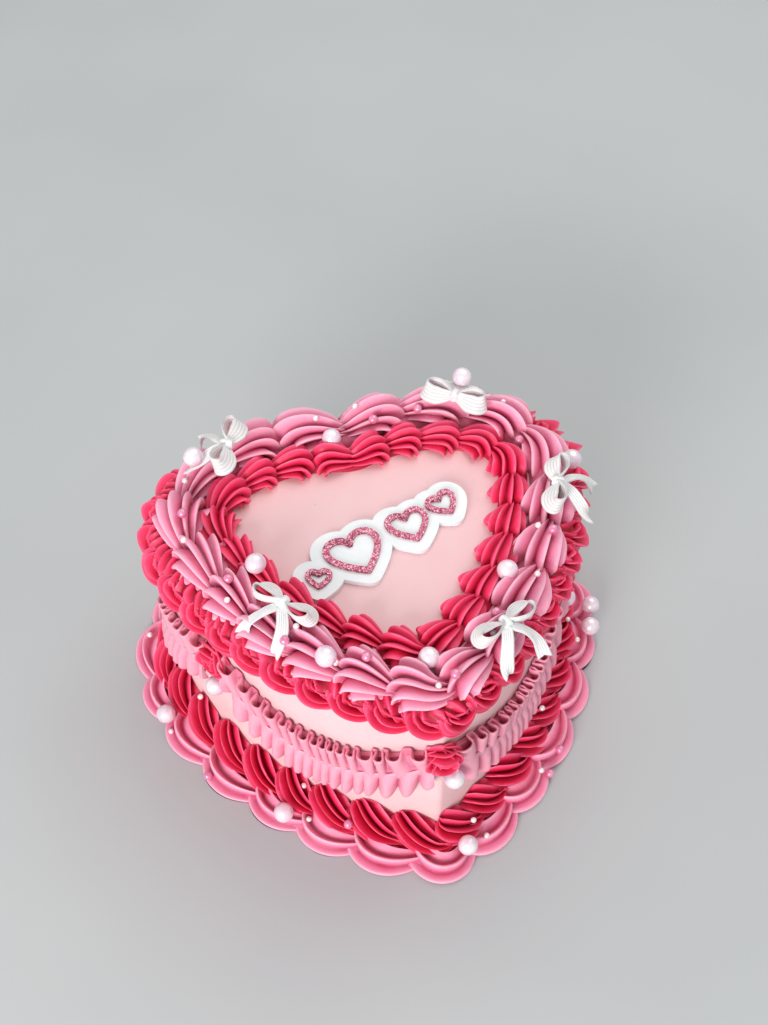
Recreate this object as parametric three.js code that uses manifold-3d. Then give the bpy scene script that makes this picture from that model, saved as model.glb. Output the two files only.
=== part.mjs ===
// Heart-shaped celebration cake with piped buttercream borders, ruffle swags, bows and pearls.
// Millimetres, +Z up. The point of the heart faces -Y and the notch +Y.
// The origin is on the table, under the middle of the whole cake.
import * as THREE from "three";
import { mergeVertices } from "three/addons/utils/BufferGeometryUtils.js";
import Module from "manifold-3d";

const wasm = await Module();
wasm.setup();

// Iced body: a heart of arcs, pointed at the tip
const BODY_HEIGHT = 98;
const HALF_WIDTH = 87.2;
const TIP_Y = -79.8;
const FLANK_RADIUS = 157.5;
const SHOULDER_RADIUS = 43.8;
const SHOULDER_Y = 30.7;
const SHOULDER_END = THREE.MathUtils.degToRad(60);
const TOP_RADIUS = 83.6;
const BODY_OUTLINE = { tip: 0.8, notch: 10, steps: 84 };
const GAP = 0.3;

// A shell swells from its head and draws out to its tail: [place along it, width, height].
const LONG_SHELL = [
  [0.02, 0.8, 0.62], [0.18, 1, 0.94], [0.42, 0.96, 1], [0.72, 0.78, 0.8], [0.96, 0.56, 0.46],
];
const SHORT_SHELL = [[0.02, 0.8, 0.62], [0.22, 1, 1], [0.6, 0.88, 0.86], [0.95, 0.56, 0.5]];
const FAN_SHELL = [[0.04, 0.78, 0.66], [0.3, 1, 1], [0.82, 0.66, 0.7]];
const WIDE_SHELL = [[0.04, 0.78, 0.62], [0.28, 1, 1], [0.8, 0.8, 0.76]];
const FLAT_SHELL = [[0.03, 0.4, 0.68], [0.2, 1, 1], [0.62, 0.95, 0.95], [0.95, 0.3, 0.64]];
const SHELL_VARIATION = 0.07;

// Piped borders. offset is how far the row's path lies outside the wall, tip and notch its corner
// radii, across and high a shell's size, ribs the ridges that show and groove the depth between them.
// drift makes the shells longer at the back, by a wave and a lag as shares of the way round. inwards
// brings the outer side of a stretch in, and fuller makes a stretch stand out further by a share:
// [middle of the stretch, its spread, amount], the first two as shares of the way round.
const INNER_ROW = {
  offset: -24.4, tip: 8, notch: 16, shells: 22, form: SHORT_SHELL, seed: 11,
  across: 13, high: 9.6, ribs: 3, groove: 0.3,
};
const MAIN_ROW = {
  offset: -7.3, tip: 11.5, notch: 14, shells: 19, drift: [0.024, 0.008], form: LONG_SHELL, seed: 23,
  across: 19.2, high: 13.4, ribs: 4, groove: 0.34, inwards: [[0.23, 0.09, 3]],
};
const OUTER_ROW = {
  offset: 4, tip: 4, notch: 9, shells: 36, form: WIDE_SHELL, seed: 37,
  across: 15.4, high: 9.6, ribs: 3, groove: 0.26, middle: 90, fuller: [[0.79, 0.12, 0.5], [0.21, 0.1, 0.24]],
};
const BASE_ROW = {
  offset: 6, tip: 6, notch: 12, shells: 30, form: FAN_SHELL, seed: 41,
  foot: 8.9, across: 13.9, high: 17.6, low: 8, ribs: 3, groove: 0.24,
};
const SCALLOP_ROW = {
  offset: 15, tip: 15, notch: 8, shells: 23, form: FLAT_SHELL, seed: 53,
  foot: 10.4, lip: 15.8, least: 17.8, reach: 22.4, high: 8.8,
};

// Ruffled swags round the side, hung between rosettes
const SIDE_PATH = { offset: 4, tip: 4, notch: 9 };
const SWAG = {
  count: 5, clear: 10.4, hang: 62.5, sag: 20, upper: 15, lower: 18, ends: 0.62,
  pleats: 12, crease: 4.3, out: 6.6, in: 2.4, root: 2,
};
const ROSETTE = { z: 67.4, radius: 9.6, petals: 5, out: 7.4 };

// Pearls, placed by [turn round the row from the notch, distance out from the wall].
const PEARL_RADIUS = { large: 4.25, medium: 2, small: 1.3 };
const PEARL_SINK = 0.3;
const TOP_PEARLS = [
  [0.154, -10.1], [0.009, -15.6], [0.3, -22.6], [0.41, -3], [0.5, -18.8], [0.632, -16.2],
  [0.768, 2.2], [0.885, -1.6],
];
const BASE_PEARLS = [
  [0.261, 17.2], [0.381, 16.6], [0.515, 15.3], [0.727, 19.4], [0.746, 19.8], [0.9, 16.4], [0.075, 17],
];
const SIDE_PEARLS = [[0.304, 52.8], [0.508, 52.8], [0.701, 52.8], [0.897, 52.8], [0.104, 52.8]];
const MEDIUM_PEARLS = {
  main_border: [
    [0.208, -10.4], [0.296, -9.9], [0.373, -2.4], [0.439, -9.7], [0.511, -4.4], [0.585, -11], [0.683, -4],
    [0.809, -14], [0.926, -11.7], [0.974, -14.4],
  ],
  base_border: [[0.429, 9.8], [0.12, 9], [0.83, 9.5]],
  base_scallops: [[0.602, 19.6], [0.618, 19.4], [0.316, 20], [0.96, 18.6]],
};
const SMALL_PEARLS = { main_border: 15, base_border: 9, base_scallops: 9 };

// Ribbon bows: where the knot stands and the direction its tails point, in degrees
const BOWS = [
  { x: -52.1, y: 57.3, tails: 152 },
  { x: 49.8, y: 64.1, tails: 53 },
  { x: 75.9, y: 6, tails: -24 },
  { x: 31.6, y: -55.8, tails: -68 },
  { x: -48.4, y: -24.9, tails: 218 },
];
const RIBBON = { wide: 4.8, pinch: 2, thick: 0.9, lean: 0.26, fork: 2 };
const LOOP = { start: 1, length: 15, half: 4.2, steps: 6 };
const TAIL = { spread: 0.46, line: [[1, -0.6], [7, -1.4], [13, -5], [17.4, -11]] };
const KNOT = { radius: 2.3, wide: 4.4, sides: 6 };

// Plaque: rounded borders of four hearts cut from one sheet, each with a raised glitter outline
const PLAQUE = { thick: 2, border: 5, raised: 1.3, corners: 26 };
const PLAQUE_HEARTS = [
  { x: -12, y: 1.5, width: 25, turn: 14, stroke: 2.8, corners: 22 },
  { x: 13, y: 9.5, width: 19, turn: 10, stroke: 2.6, corners: 20 },
  { x: 30, y: 17, width: 14, turn: 22, stroke: 2.4, corners: 18 },
  { x: -30, y: -7, width: 11, turn: -12, stroke: 2.1, corners: 16 },
];
const HEART_STEPS = 40;

const PALETTE = {
  icing: [0xf3ccd0, 0.55],
  hotPink: [0xd8214f, 0.5],
  rosePink: [0xdf6f98, 0.5],
  swagPink: [0xf0a4bf, 0.52],
  pearl: [0xf3e3ee, 0.22],
  bow: [0xf4f2f2, 0.45],
  plaque: [0xf2f3f2, 0.4],
  glitter: [0xb9536f, 0.35],
};

// Seeded random numbers from 0 to 1
function randomFrom(seed) {
  let state = seed;
  return () => {
    state = (Math.imul(state, 1664525) + 1013904223) >>> 0;
    return state / 4294967296;
  };
}

// Centres of the arcs in the heart's right half
const shoulder = new THREE.Vector2(HALF_WIDTH - SHOULDER_RADIUS, SHOULDER_Y);
const flank = flankCentre();
const shoulderEnd = new THREE.Vector2(Math.cos(SHOULDER_END), Math.sin(SHOULDER_END));
const topArc = shoulder.clone().addScaledVector(shoulderEnd, SHOULDER_RADIUS - TOP_RADIUS);

// The flank arc passes through the tip and runs smoothly into the shoulder arc.
function flankCentre() {
  const line = shoulder.clone().sub(new THREE.Vector2(0, TIP_Y));
  const apart = line.length();
  line.divideScalar(apart);
  const near = FLANK_RADIUS - SHOULDER_RADIUS;
  const along = (FLANK_RADIUS ** 2 - near ** 2 + apart ** 2) / (2 * apart);
  const aside = Math.sqrt(FLANK_RADIUS ** 2 - along ** 2);
  return new THREE.Vector2(line.x * along - line.y * aside, TIP_Y + line.y * along + line.x * aside);
}

// A closed path outside the heart by an offset, its tip and notch rounded. at(turn, out) gives the
// point a share of the way round, counter-clockwise from the notch, and out from the wall.
function heartPath({ offset, tip, notch }) {
  const flankRadius = FLANK_RADIUS + offset;
  const topRadius = TOP_RADIUS + offset;
  const tipY = flank.y - Math.sqrt((flankRadius - tip) ** 2 - flank.x ** 2);
  const notchY = topArc.y + Math.sqrt((topRadius + notch) ** 2 - topArc.x ** 2);
  const tipEnd = Math.atan2(tipY - flank.y, -flank.x);
  const flankEnd = Math.atan2(shoulder.y - flank.y, shoulder.x - flank.x);
  const topEnd = Math.atan2(notchY - topArc.y, -topArc.x);
  const shoulderRadius = SHOULDER_RADIUS + offset;
  const arcs = [
    { x: 0, y: tipY, radius: tip, from: -Math.PI / 2, to: tipEnd, side: 1 },
    { x: flank.x, y: flank.y, radius: flankRadius, from: tipEnd, to: flankEnd, side: 1 },
    { x: shoulder.x, y: shoulder.y, radius: shoulderRadius, from: flankEnd, to: SHOULDER_END, side: 1 },
    { x: topArc.x, y: topArc.y, radius: topRadius, from: SHOULDER_END, to: topEnd, side: 1 },
    { x: 0, y: notchY, radius: notch, from: topEnd - Math.PI, to: -Math.PI / 2, side: -1 },
  ];
  let half = 0;
  for (const arc of arcs) {
    arc.start = half;
    half += arc.radius * Math.abs(arc.to - arc.from);
  }
  function at(turn, out) {
    const place = (turn - Math.floor(turn)) * 2 * half;
    const mirror = place < half ? -1 : 1;
    const run = Math.abs(place - half);
    const arc = arcs.findLast((each) => each.start <= run);
    const angle = arc.from + (arc.side * (run - arc.start)) / arc.radius;
    const reach = arc.radius + arc.side * (out - offset);
    return [mirror * (arc.x + reach * Math.cos(angle)), arc.y + reach * Math.sin(angle)];
  }
  return { length: 2 * half, at };
}

// A solid from rings of points, each joined to the next. A closed band also joins last to first.
function bandGeometry(rings, closed) {
  const size = rings[0].length;
  const index = [];
  const steps = closed ? rings.length : rings.length - 1;
  for (let i = 0; i < steps; i++) {
    const a = i * size;
    const b = ((i + 1) % rings.length) * size;
    for (let j = 0; j < size; j++) {
      const k = (j + 1) % size;
      index.push(a + j, b + j, a + k, a + k, b + j, b + k);
    }
  }
  const end = (rings.length - 1) * size;
  for (let j = 1; j < size - 1 && !closed; j++) index.push(0, j, j + 1, end, end + j + 1, end + j);
  const geometry = new THREE.BufferGeometry();
  geometry.setAttribute("position", new THREE.Float32BufferAttribute(rings.flat(2), 3));
  geometry.setIndex(index);
  return geometry;
}

// Closed meshes joined and compared as solids
function solidOf(geometry) {
  const bare = new THREE.BufferGeometry();
  bare.setAttribute("position", geometry.getAttribute("position"));
  bare.setIndex(geometry.index);
  const merged = mergeVertices(bare, 1e-4);
  const vertProperties = new Float32Array(merged.getAttribute("position").array);
  const triVerts = new Uint32Array(merged.index.array);
  return new wasm.Manifold(new wasm.Mesh({ numProp: 3, vertProperties, triVerts }));
}

function geometryOf(solid) {
  const { vertProperties, triVerts } = solid.getMesh();
  const geometry = new THREE.BufferGeometry();
  geometry.setAttribute("position", new THREE.Float32BufferAttribute(vertProperties, 3));
  geometry.setIndex([...triVerts]);
  return geometry;
}

function joined(geometries) {
  return geometries.map(solidOf).reduce((whole, next) => whole.add(next));
}

// The height at which a solid lowered from above first meets a support
function restingHeight(solid, supports, from) {
  const touches = (z) => {
    const moved = solid.translate([0, 0, z]);
    return supports.some((support) => support.intersect(moved).volume() > 1e-6);
  };
  let step = 1.5;
  let z = from;
  while (z > 0 && !touches(z)) z -= step;
  for (; step > 0.01; step /= 2) z += touches(z) ? step / 2 : -step / 2;
  return touches(z) ? z + 0.02 : z;
}

// Body, or the same form grown outwards
function bodyGeometry(growth) {
  const path = heartPath({ ...BODY_OUTLINE, offset: growth });
  const outline = [];
  for (let i = 0; i < BODY_OUTLINE.steps; i++) {
    outline.push(new THREE.Vector2(...path.at(i / BODY_OUTLINE.steps, growth)));
  }
  return new THREE.ExtrudeGeometry(new THREE.Shape(outline), { depth: BODY_HEIGHT, bevelEnabled: false });
}

function driftedTurn({ shells, drift: [wave, lag] = [0, 0] }, place) {
  const angle = (2 * Math.PI * place) / shells;
  return place / shells + wave * Math.sin(angle) - lag * (1 - Math.cos(angle));
}

function stretched(stretches = [], turn) {
  return stretches.reduce((sum, [middle, spread, amount]) => {
    return sum + amount * Math.exp(-(((turn - middle) / spread) ** 2));
  }, 0);
}

// Stations of a row, each shell slightly different. The first is turned round, so tails meet at the notch.
function shellStations(row) {
  const random = randomFrom(row.seed);
  const stations = [];
  for (let i = 0; i < row.shells; i++) {
    const size = 1 - SHELL_VARIATION * random();
    const lean = (random() - 0.5) * SHELL_VARIATION;
    const form = i === 0 ? row.form.map(([place, w, h]) => [1 - place, w, h]).reverse() : row.form;
    for (const [place, w, h] of form) {
      stations.push({ turn: driftedTurn(row, i + place), w: w * size, h: h * size, lean });
    }
  }
  return stations;
}

// Section of a shell: ridges at odd steps with grooves between them
function ribbedArc(row, from, to) {
  const steps = 2 * row.ribs;
  const points = [];
  for (let j = 0; j <= steps; j++) {
    const angle = from + ((to - from) * j) / steps;
    const reach = j % 2 || j === 0 || j === steps ? 1 : 1 - row.groove;
    points.push([reach * Math.cos(angle), reach * Math.sin(angle)]);
  }
  return points;
}

// Each section gives points as [distance out from the wall, height].
function topSection(row) {
  const arc = ribbedArc(row, 0, Math.PI);
  return ({ turn, w, h, lean }) => {
    const half = (row.across / 2) * w * (1 - Math.abs(lean));
    const middle = row.offset + (lean * row.across) / 2;
    const inwards = stretched(row.inwards, turn);
    return arc.map(([c, s]) => [
      middle + half * c - inwards * Math.max(c, 0), BODY_HEIGHT + GAP + row.high * h * s,
    ]);
  };
}

function sideSection(row) {
  const arc = ribbedArc(row, -Math.PI / 2, Math.PI / 2);
  return ({ turn, w, h }) => {
    const high = row.high * h * (1 + stretched(row.fuller, turn));
    return arc.map(([c, s]) => [GAP + high * c, row.middle + (row.across / 2) * s * (s < 0 ? w : 1)]);
  };
}

function baseSection(row) {
  const steps = 2 * row.ribs - 1;
  return ({ w, h }) => {
    const points = [[GAP, 0], [row.foot, 0]];
    for (let j = 0; j <= steps; j++) {
      const angle = (j * Math.PI) / (2 * steps);
      const reach = j % 2 && j < steps ? 1 - row.groove : 1;
      const out = row.across * w * reach * Math.cos(angle);
      points.push([GAP + out, row.low + (row.high - row.low) * h * reach * Math.sin(angle)]);
    }
    return points;
  };
}

// A wide groove between an inner lip tucked under the base row and a broad outer lip on the table
function scallopSection(row) {
  return ({ w, h }) => {
    const reach = row.least + (row.reach - row.least) * w;
    const groove = row.lip + (reach - row.lip) * 0.4;
    return [
      [row.foot, 0], [reach - 0.8, 0], [reach, row.high * 0.46 * h],
      [groove, row.high * 0.62 * h], [row.lip, row.high * h],
    ];
  };
}

function rowGeometry(row, section) {
  const path = heartPath(row);
  const rings = shellStations(row).map((station) =>
    section(row)(station).map(([out, z]) => [...path.at(station.turn, out), z]),
  );
  return bandGeometry(rings, true);
}

// Swags and rosettes on the side
const side = heartPath(SIDE_PATH);
const joinTurn = (index) => 0.5 + index / SWAG.count;

function swagGeometry(index) {
  const clear = SWAG.clear / side.length;
  const first = joinTurn(index) + clear;
  const span = joinTurn(index + 1) - clear - first;
  const steps = 2 * SWAG.pleats;
  const rings = [];
  for (let i = 0; i <= steps; i++) {
    const run = i / steps;
    const z = SWAG.hang - SWAG.sag * (1 - (2 * run - 1) ** 2);
    const size = Math.min(1, SWAG.ends + 2 * Math.min(run, 1 - run));
    const upper = z + SWAG.upper * size;
    const lower = z - SWAG.lower * size;
    const fold = i % 2 ? SWAG.in : SWAG.out;
    const section = [
      [GAP, lower + SWAG.root], [fold, lower], [SWAG.crease, z], [fold, upper], [GAP, upper - SWAG.root],
    ];
    rings.push(section.map(([out, height]) => [...side.at(first + span * run, out), height]));
  }
  return bandGeometry(rings, false);
}

// A rosette's rings, from inside the wall outwards: [size, distance out, depth of the petals]
function rosetteSolid(index, body) {
  const forms = [[0.66, -2, 0.1], [1, 3, 0.26], [0.58, ROSETTE.out, 0.3], [0.14, 4.4, 0]];
  const corners = 2 * ROSETTE.petals;
  const rings = forms.map(([size, out, depth]) => {
    const ring = [];
    for (let j = 0; j < corners; j++) {
      const angle = (2 * Math.PI * j) / corners;
      const reach = ROSETTE.radius * size * (j % 2 ? 1 - depth : 1);
      const turn = joinTurn(index) - (reach * Math.cos(angle)) / side.length;
      ring.push([...side.at(turn, out), ROSETTE.z + reach * Math.sin(angle)]);
    }
    return ring;
  });
  return solidOf(bandGeometry(rings, false)).subtract(body);
}

// A ribbon swept along a line. Each station has a point, the ribbon's face direction and its width.
function ribbonGeometry(stations, forked) {
  const points = stations.map((station) => station.at);
  const rings = stations.map(({ at, face, wide }, i) => {
    const before = points[Math.max(0, i - 1)];
    const along = points[Math.min(points.length - 1, i + 1)].clone().sub(before).normalize();
    const across = along.clone().cross(face).normalize().multiplyScalar(wide / 2);
    const rise = across.clone().cross(along).normalize().multiplyScalar(RIBBON.thick / 2);
    const back = forked && i === points.length - 1 ? RIBBON.fork : 0;
    const corner = (a, b, c) =>
      at.clone().addScaledVector(across, a).addScaledVector(rise, b).addScaledVector(along, -c).toArray();
    const ring = [corner(1, -1, 0), corner(1, 1, 0), corner(0, 1, back), corner(-1, 1, 0), corner(-1, -1, 0)];
    return forked ? [...ring, corner(0, -1, back)] : ring.filter((_, j) => j !== 2);
  });
  return bandGeometry(rings, false);
}

// A loop stands on its edge and leans outwards.
function loopGeometry(direction) {
  const stations = [];
  for (let i = 0; i <= LOOP.steps; i++) {
    const angle = Math.PI * ((1.9 * i) / LOOP.steps - 0.95);
    const bulge = (1 + Math.cos(angle)) / 2;
    const x = direction * (LOOP.start + (LOOP.length - LOOP.start) * bulge);
    const y = LOOP.half * 1.3 * Math.sin(angle) * Math.sqrt(bulge);
    const outwards = new THREE.Vector3(direction * Math.cos(angle), Math.sin(angle), -Math.tan(RIBBON.lean));
    const wide = RIBBON.pinch + (RIBBON.wide - RIBBON.pinch) * Math.min(1, 2 * bulge);
    stations.push({ at: new THREE.Vector3(x, y, 0), face: outwards.normalize(), wide });
  }
  if (direction < 0) stations.reverse();
  return ribbonGeometry(stations, false);
}

// A tail droops over the edge of the row and ends in a fork.
function tailGeometry(direction) {
  const stations = TAIL.line.map(([reach, drop], i, line) => {
    const angle = direction * TAIL.spread;
    const at = new THREE.Vector3(reach * Math.sin(angle), -reach * Math.cos(angle), drop);
    const wide = RIBBON.pinch + ((RIBBON.wide - RIBBON.pinch) * i) / (line.length - 1);
    return { at, face: new THREE.Vector3(0, 0, 1), wide };
  });
  return ribbonGeometry(stations, true);
}

function bowSolid({ x, y, tails }) {
  const knot = new THREE.CylinderGeometry(KNOT.radius, KNOT.radius, KNOT.wide, KNOT.sides);
  const bow = joined([loopGeometry(1), loopGeometry(-1), tailGeometry(1), tailGeometry(-1), knot]);
  return bow.rotate([0, 0, tails + 90]).translate([x, y, 0]);
}

// The outline of a plump heart of a given width, turned in its plane
function heartOutline({ x, y, width, turn }, inset = 0) {
  const shape = new THREE.Shape();
  const w = (width - inset) / 2;
  shape.moveTo(0, -0.92 * w);
  shape.bezierCurveTo(0.55 * w, -0.5 * w, w, -0.05 * w, w, 0.36 * w);
  shape.bezierCurveTo(w, 0.98 * w, 0.2 * w, 1.02 * w, 0, 0.5 * w);
  shape.bezierCurveTo(-0.2 * w, 1.02 * w, -w, 0.98 * w, -w, 0.36 * w);
  shape.bezierCurveTo(-w, -0.05 * w, -0.55 * w, -0.5 * w, 0, -0.92 * w);
  const place = new THREE.Vector2(x, y);
  const centre = new THREE.Vector2();
  const angle = THREE.MathUtils.degToRad(turn);
  return shape.getPoints(HEART_STEPS).map((point) => point.rotateAround(centre, angle).add(place));
}

// An outline moved out, or in for a negative distance, with rounded corners, at even angles round its middle
function movedOutline(outline, distance, corners) {
  const middle = new THREE.Vector2();
  for (const point of outline) middle.addScaledVector(point, 1 / outline.length);
  const arms = outline.map((point) => point.clone().sub(middle));
  const points = [];
  for (let k = 0; k < corners; k++) {
    const angle = (2 * Math.PI * k) / corners;
    const direction = new THREE.Vector2(Math.cos(angle), Math.sin(angle));
    let reach = distance > 0 ? 0 : Infinity;
    for (const arm of arms) {
      const ahead = arm.dot(direction);
      const aside = arm.cross(direction);
      if (ahead < 0 || Math.abs(aside) >= Math.abs(distance)) continue;
      const half = Math.sqrt(distance ** 2 - aside ** 2);
      reach = distance > 0 ? Math.max(reach, ahead + half) : Math.min(reach, ahead - half);
    }
    points.push(direction.multiplyScalar(reach).add(middle));
  }
  return points;
}

function borderGeometry(heart) {
  const outline = movedOutline(heartOutline(heart), PLAQUE.border, PLAQUE.corners);
  return new THREE.ExtrudeGeometry(new THREE.Shape(outline), { depth: PLAQUE.thick, bevelEnabled: false });
}

// A heart drawn as a raised line
function heartLineGeometry(heart) {
  const line = heartOutline(heart, heart.stroke);
  const outside = movedOutline(line, heart.stroke / 2, heart.corners);
  const inside = movedOutline(line, -heart.stroke / 2, heart.corners);
  const rings = outside.map((point, k) => [
    [point.x, point.y, 0], [point.x, point.y, PLAQUE.raised],
    [inside[k].x, inside[k].y, PLAQUE.raised], [inside[k].x, inside[k].y, 0],
  ]);
  return bandGeometry(rings, true);
}

const cake = new THREE.Group();
const solids = {};

function addNode(name, solid, finish) {
  const [color, roughness] = PALETTE[finish];
  const material = new THREE.MeshStandardMaterial({ color, roughness, metalness: 0 });
  const mesh = new THREE.Mesh(geometryOf(solid), material);
  mesh.name = name;
  cake.add(mesh);
  solids[name] = solid;
}

function pearlSolid(radius, [x, y], z) {
  return solidOf(new THREE.SphereGeometry(radius, 8, 4)).translate([x, y, z]);
}

// Small pearls sit slightly sunk in the icing of one row.
function withPearls(name, row, body) {
  const path = heartPath(row);
  const random = randomFrom(row.seed + 1);
  const places = (MEDIUM_PEARLS[name] ?? []).map(([turn, out]) => [turn, out, PEARL_RADIUS.medium]);
  for (let i = 0; i < (SMALL_PEARLS[name] ?? 0); i++) {
    const turn = (i + 0.2 + 0.6 * random()) / SMALL_PEARLS[name];
    places.push([turn, row.offset + (random() - 0.5) * 7, PEARL_RADIUS.small]);
  }
  const pearls = places.map(([turn, out, radius]) => {
    const [x, y] = path.at(turn, out);
    const form = radius < PEARL_RADIUS.medium ? THREE.OctahedronGeometry : THREE.IcosahedronGeometry;
    const ball = solidOf(new form(radius, 0)).translate([x, y, 0]);
    return ball.translate([0, 0, restingHeight(ball, [body], row.middle ?? 130) - PEARL_SINK * radius]);
  });
  return pearls.reduce((whole, pearl) => whole.add(pearl), body);
}

function addRow(name, row, section, finish) {
  addNode(name, withPearls(name, row, solidOf(rowGeometry(row, section))), finish);
}

addNode("cake_body", solidOf(bodyGeometry(0)), "icing");
addRow("inner_border", INNER_ROW, topSection, "hotPink");
addRow("main_border", MAIN_ROW, topSection, "rosePink");
addRow("outer_border", OUTER_ROW, sideSection, "hotPink");
addRow("base_border", BASE_ROW, baseSection, "hotPink");
addRow("base_scallops", SCALLOP_ROW, scallopSection, "rosePink");

for (let i = 0; i < SWAG.count; i++) addNode(`swag_${i + 1}`, solidOf(swagGeometry(i)), "swagPink");
const grownBody = solidOf(bodyGeometry(GAP));
for (let i = 0; i < SWAG.count; i++) addNode(`rosette_${i + 1}`, rosetteSolid(i, grownBody), "hotPink");

// What rests on top stays a gap above what carries it.
const rows = ["inner_border", "main_border", "outer_border", "base_border", "base_scallops"];
const supports = rows.map((name) => solids[name].translate([0, 0, GAP]));

BOWS.forEach((place, i) => {
  const bow = bowSolid(place);
  const settled = bow.translate([0, 0, restingHeight(bow, supports, 135)]);
  addNode(`bow_${i + 1}`, settled, "bow");
  supports.push(settled.translate([0, 0, GAP]));
});

const pearls = [];
for (const [row, from, places] of [[MAIN_ROW, 135, TOP_PEARLS], [SCALLOP_ROW, 40, BASE_PEARLS]]) {
  const path = heartPath(row);
  for (const [turn, out] of places) {
    const pearl = pearlSolid(PEARL_RADIUS.large, path.at(turn, out), 0);
    pearls.push(pearl.translate([0, 0, restingHeight(pearl, supports, from)]));
  }
}
for (const [turn, z] of SIDE_PEARLS) {
  pearls.push(pearlSolid(PEARL_RADIUS.large, side.at(turn, PEARL_RADIUS.large + 2 * GAP), z));
}
pearls.forEach((pearl, i) => addNode(`pearl_${String(i + 1).padStart(2, "0")}`, pearl, "pearl"));

// Plaque
const sheet = joined(PLAQUE_HEARTS.map(borderGeometry));
addNode("plaque", sheet.translate([0, 0, BODY_HEIGHT + GAP]), "plaque");
PLAQUE_HEARTS.forEach((heart, i) => {
  const line = solidOf(heartLineGeometry(heart));
  addNode(`plaque_heart_${i + 1}`, line.translate([0, 0, BODY_HEIGHT + PLAQUE.thick + 2 * GAP]), "glitter");
});

export default cake;
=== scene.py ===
import math

import bpy
import numpy as np
from mathutils import Matrix, Vector
from mathutils.bvhtree import BVHTree


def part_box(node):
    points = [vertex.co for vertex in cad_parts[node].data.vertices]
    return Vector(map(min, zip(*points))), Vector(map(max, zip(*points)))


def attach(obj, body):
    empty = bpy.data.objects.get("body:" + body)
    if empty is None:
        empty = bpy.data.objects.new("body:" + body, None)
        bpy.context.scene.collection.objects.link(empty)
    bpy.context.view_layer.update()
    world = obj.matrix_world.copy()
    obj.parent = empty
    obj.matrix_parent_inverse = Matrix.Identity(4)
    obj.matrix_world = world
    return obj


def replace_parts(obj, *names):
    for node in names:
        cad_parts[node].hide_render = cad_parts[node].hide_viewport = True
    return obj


# Heart-shaped celebration cake. Lengths are millimetres until a mesh is made.
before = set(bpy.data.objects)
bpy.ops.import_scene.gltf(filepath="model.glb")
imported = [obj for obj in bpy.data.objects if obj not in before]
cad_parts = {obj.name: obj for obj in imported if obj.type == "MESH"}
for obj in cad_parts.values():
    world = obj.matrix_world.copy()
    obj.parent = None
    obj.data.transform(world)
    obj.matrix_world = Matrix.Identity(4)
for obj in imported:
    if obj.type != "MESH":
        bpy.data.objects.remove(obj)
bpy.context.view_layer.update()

MM = 0.001
TAU = 2 * math.pi

# Iced body: a heart of arcs, pointed at the tip
BODY_HEIGHT = 98.0
HALF_WIDTH = 87.2
TIP_Y = -79.8
FLANK_RADIUS = 157.5
SHOULDER_RADIUS = 43.8
SHOULDER_Y = 30.7
SHOULDER_END = math.radians(60)
TOP_RADIUS = 83.6
MEAN_RADIUS = 80
BODY = dict(points=320, levels=32, inset=0.3, edge=3, tip=0.8, notch=10, waves=7, samples=6000)
MIDDLE = np.array([0, 4.0])

# How deep the piping is pressed into the cake, and how far it stays off the floor and the wall
SINK = 0.5
FLOOR_GAP = 0.03
WALL_GAP = 0.05

SEEDS = dict(body=5, swag=71, rosette=91, large=3, small=4, bow=31, glitter=61)

# How a shell grows from its head to its tail, as shares of its pitch, height and half width:
# [place along it, lift, tilt in degrees, thickness, width]
LONG_SHELL = [
    [0.34, 0.0, 0, 1.0, 0.94], [0.34, 0.07, 0, 0.94, 0.91], [0.35, 0.17, 10, 1.0, 1.02],
    [0.38, 0.26, 34, 0.92, 1.05], [0.46, 0.31, 60, 0.77, 1.0], [0.6, 0.29, 79, 0.65, 0.88],
    [0.78, 0.22, 90, 0.5, 0.69], [0.97, 0.13, 97, 0.33, 0.46], [1.16, 0.05, 103, 0.14, 0.2],
]
SHORT_SHELL = [
    [0.38, 0.0, 0, 1.0, 0.94], [0.38, 0.08, 0, 0.93, 0.91], [0.39, 0.19, 12, 1.0, 1.03],
    [0.43, 0.28, 36, 0.9, 1.06], [0.52, 0.32, 62, 0.76, 1.0], [0.67, 0.29, 81, 0.63, 0.88],
    [0.86, 0.22, 92, 0.49, 0.69], [1.06, 0.13, 98, 0.32, 0.46], [1.24, 0.05, 103, 0.14, 0.2],
]

# How a curled shell grows: it starts across its row, bends round and runs along it.
# [place along, across in mm, height, half width], the last two as shares
LOBE = [
    [0.17, -7.6, 0.74, 0.66], [0.17, -5.4, 0.92, 0.84], [0.22, -3.1, 1.0, 0.95],
    [0.34, -0.8, 1.02, 1.0], [0.52, 0.8, 0.96, 0.98], [0.74, 1.6, 0.82, 0.84],
    [0.96, 1.6, 0.58, 0.6], [1.18, 1.0, 0.3, 0.32],
]
HOOK = [
    [-0.12, -9.6, 0.34, 0.66], [-0.04, -8.3, 0.72, 0.9], [0.08, -6.1, 0.94, 1.0],
    [0.22, -3.6, 1.02, 1.04], [0.39, -1.0, 1.02, 1.02], [0.58, 1.3, 0.94, 0.92],
    [0.78, 2.9, 0.76, 0.72], [0.98, 3.8, 0.52, 0.48], [1.2, 4.4, 0.26, 0.26],
]
SCALLOP_LOBE = [
    [0.02, -9.0, 0.9, 0.66], [0.03, -5.4, 0.98, 0.82], [0.09, -2.0, 1.02, 0.95],
    [0.21, 0.8, 1.02, 1.02], [0.38, 2.4, 1.0, 1.02], [0.58, 2.6, 0.95, 0.94],
    [0.78, 1.5, 0.84, 0.78], [0.97, -0.6, 0.64, 0.58], [1.14, -3.2, 0.38, 0.36],
]
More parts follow.
